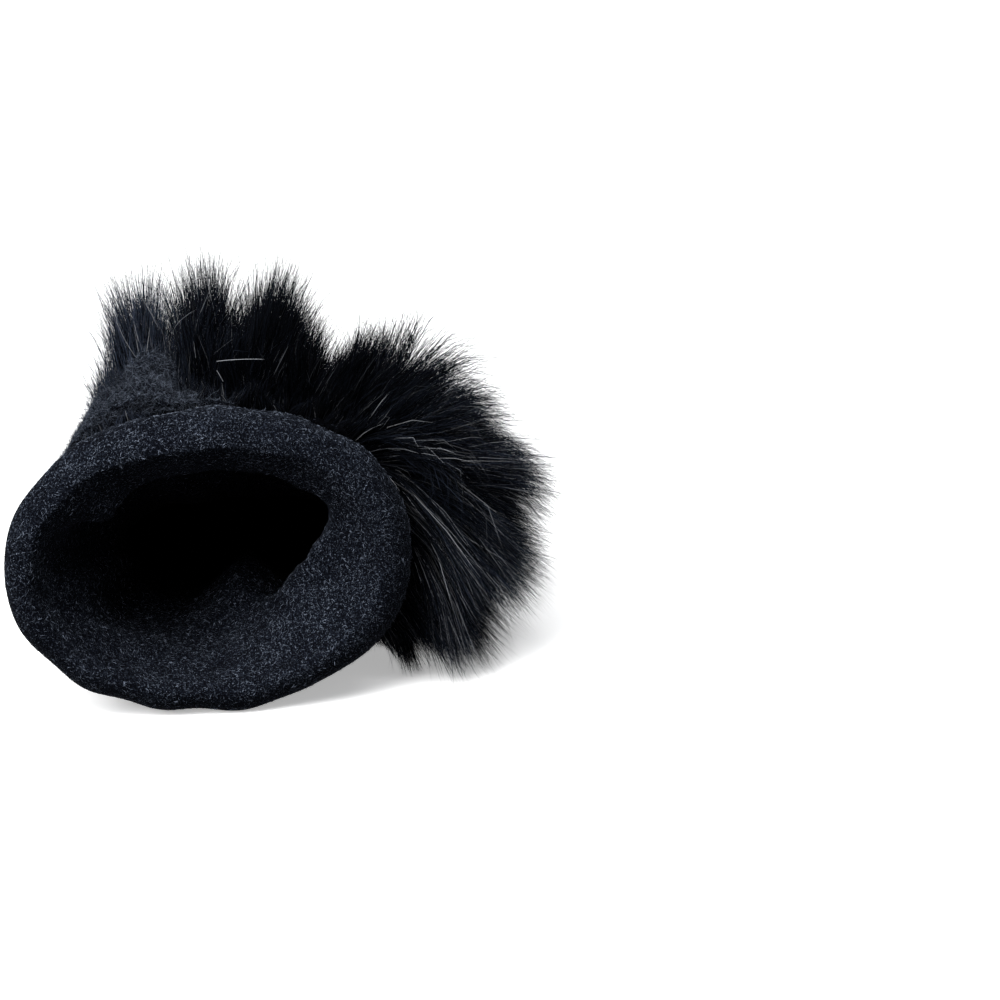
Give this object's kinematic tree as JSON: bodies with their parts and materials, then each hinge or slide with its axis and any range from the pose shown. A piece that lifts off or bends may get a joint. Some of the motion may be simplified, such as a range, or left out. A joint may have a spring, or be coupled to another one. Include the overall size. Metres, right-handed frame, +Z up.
{
  "type": "fur-trimmed leather glove",
  "caption": "Left dress glove lying palm down: a leather hand with open fingers, a soft wool lining turned out over its mouth, and long dark fur round the cuff.",
  "frame": {"origin": "middle of the glove's outline, on the surface that it lies on", "axes": "+Y from the mouth to the fingertips, +Z up from the palm, +X to the thumb's side"},
  "size_m": [0.129, 0.252, 0.1021],
  "materials": {
    "leather": "black nappa leather, fine grain, soft sheen",
    "wool": "dark brushed wool with a short nap",
    "fur": "long black fur with a few grey guard hairs"
  },
  "bodies": {
    "root": {"leather_back": "leather", "leather_palm": "leather", "fourchette_index_middle": "leather", "fourchette_middle_ring": "leather", "fourchette_ring_little": "leather", "leather_thumb": "leather", "wool_lining": "wool", "fur_band": "fur"}
  },
  "joints": []
}
